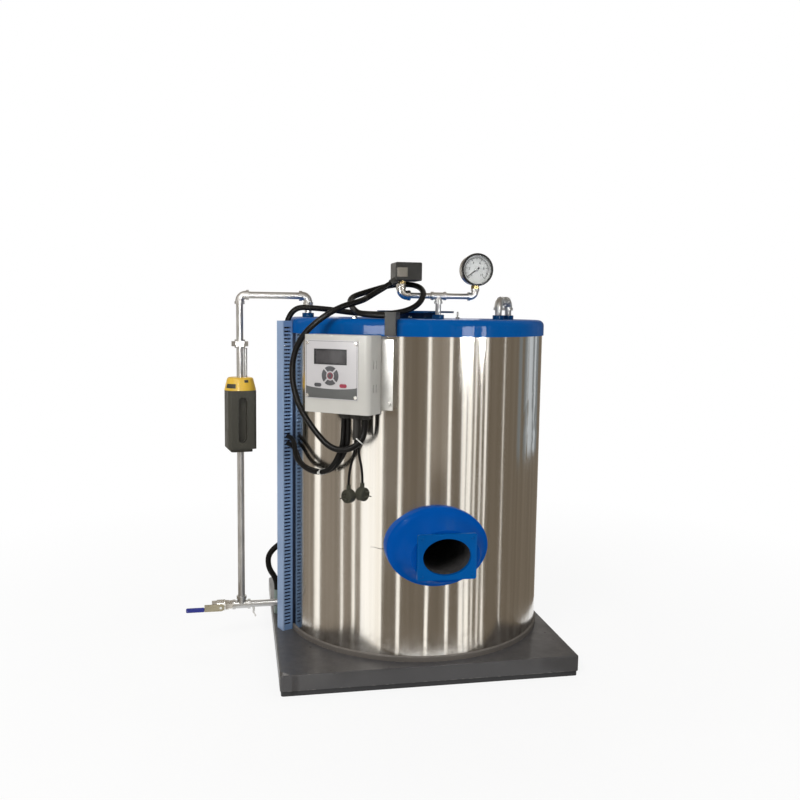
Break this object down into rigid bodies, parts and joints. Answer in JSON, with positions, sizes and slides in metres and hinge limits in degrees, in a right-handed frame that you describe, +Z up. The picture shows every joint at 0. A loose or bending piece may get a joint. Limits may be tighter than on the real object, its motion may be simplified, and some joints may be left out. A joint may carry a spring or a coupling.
{
  "type": "upright industrial steam boiler",
  "caption": "Upright steam boiler with round stainless jacket, blue cap and burner neck on a square base tray, with level column, wiring duct, control box, dial gauge and pressure switch.",
  "frame": {"origin": "on the floor under the jacket's axis", "axes": "+Z up along the jacket's axis, -Y to the front where the burner neck points, -X to the level column"},
  "size_m": [1.13, 0.95, 1.223],
  "materials": {
    "skid_paint": "satin",
    "tray_paint": "satin",
    "ring_paint": "satin",
    "stainless_sheet": "polished",
    "blue_paint": "gloss",
    "dark_blue_paint": "satin",
    "furnace_steel": "matt",
    "throat_refractory": "matt",
    "duct_plastic": "satin",
    "duct_cover_plastic": "satin",
    "rail_steel": "satin",
    "galvanised_pipe": "satin",
    "malleable_fittings": "galvanised",
    "nickel": "satin",
    "lever_steel": "plated",
    "grip_blue": "satin",
    "brass": "turned",
    "level_yellow": "gloss",
    "level_dark": "matt",
    "switch_black": "satin",
    "gauge_case_steel": "polished",
    "gauge_bezel_black": "gloss",
    "dial_white": "matt",
    "pointer_black": "matt",
    "clear_glass": "clear",
    "box_paint": "powder coat",
    "panel_film": "satin",
    "display_film": "gloss",
    "key_grey": "satin",
    "stop_red": "satin",
    "bracket_steel": "satin",
    "cable_black": "matt",
    "plug_rubber": "matt",
    "feed_grey": "satin"
  },
  "bodies": {
    "boiler": {"base_ring": "ring_paint", "base_skid": "skid_paint", "base_tray": "tray_paint", "box_conduit": "cable_black", "bundle_inner_cable": "cable_black", "bundle_outer_cable": "cable_black", "burner_neck": "blue_paint", "burner_plate": "blue_paint", "burner_throat": "throat_refractory", "cable_entry": "switch_black", "cap_bosses": "dark_blue_paint", "column_fittings": "malleable_fittings", "column_pipes": "galvanised_pipe", "control_box": "box_paint", "control_bracket": "bracket_steel", "control_display": "display_film", "control_glands": "switch_black", "control_keys": "key_grey", "control_panel": "panel_film", "drain_valve": "nickel", "duct_channel": "duct_plastic", "duct_conduit": "cable_black", "duct_cover": "duct_cover_plastic", "duct_rail": "rail_steel", "feed_hose": "cable_black", "feed_pipe": "feed_grey", "flue_collar": "dark_blue_paint", "furnace_shell": "furnace_steel", "gauge_bezel": "gauge_bezel_black", "gauge_case": "gauge_case_steel", "gauge_dial": "dial_white", "gauge_fittings": "malleable_fittings", "gauge_glass": "clear_glass", "gauge_pipes": "galvanised_pipe", "gauge_pointer": "pointer_black", "gauge_stem": "brass", "jacket_back": "stainless_sheet", "jacket_front": "stainless_sheet", "jacket_left": "stainless_sheet", "jacket_right": "stainless_sheet", "lead_plugs": "plug_rubber", "level_sense_tube": "galvanised_pipe", "level_switch_body": "level_dark", "level_switch_cap": "level_yellow", "plug_lead_left": "cable_black", "plug_lead_right": "cable_black", "stop_button": "stop_red", "switch_box": "switch_black", "switch_collar": "brass", "switch_elbow": "nickel", "switch_gland": "switch_black", "switch_nut": "nickel", "top_cap": "blue_paint", "vent_elbows": "malleable_fittings", "vent_pipes": "galvanised_pipe"},
    "drain_lever": {"drain_lever": "lever_steel", "drain_grip": "grip_blue"}
  },
  "joints": [
    {"name": "drain_lever_turn", "type": "hinge", "parent": "boiler", "child": "drain_lever", "pos_m": [-0.614, -0.0245, 0.115], "axis": [0, 1, 0], "range_deg": [0, 90]}
  ]
}
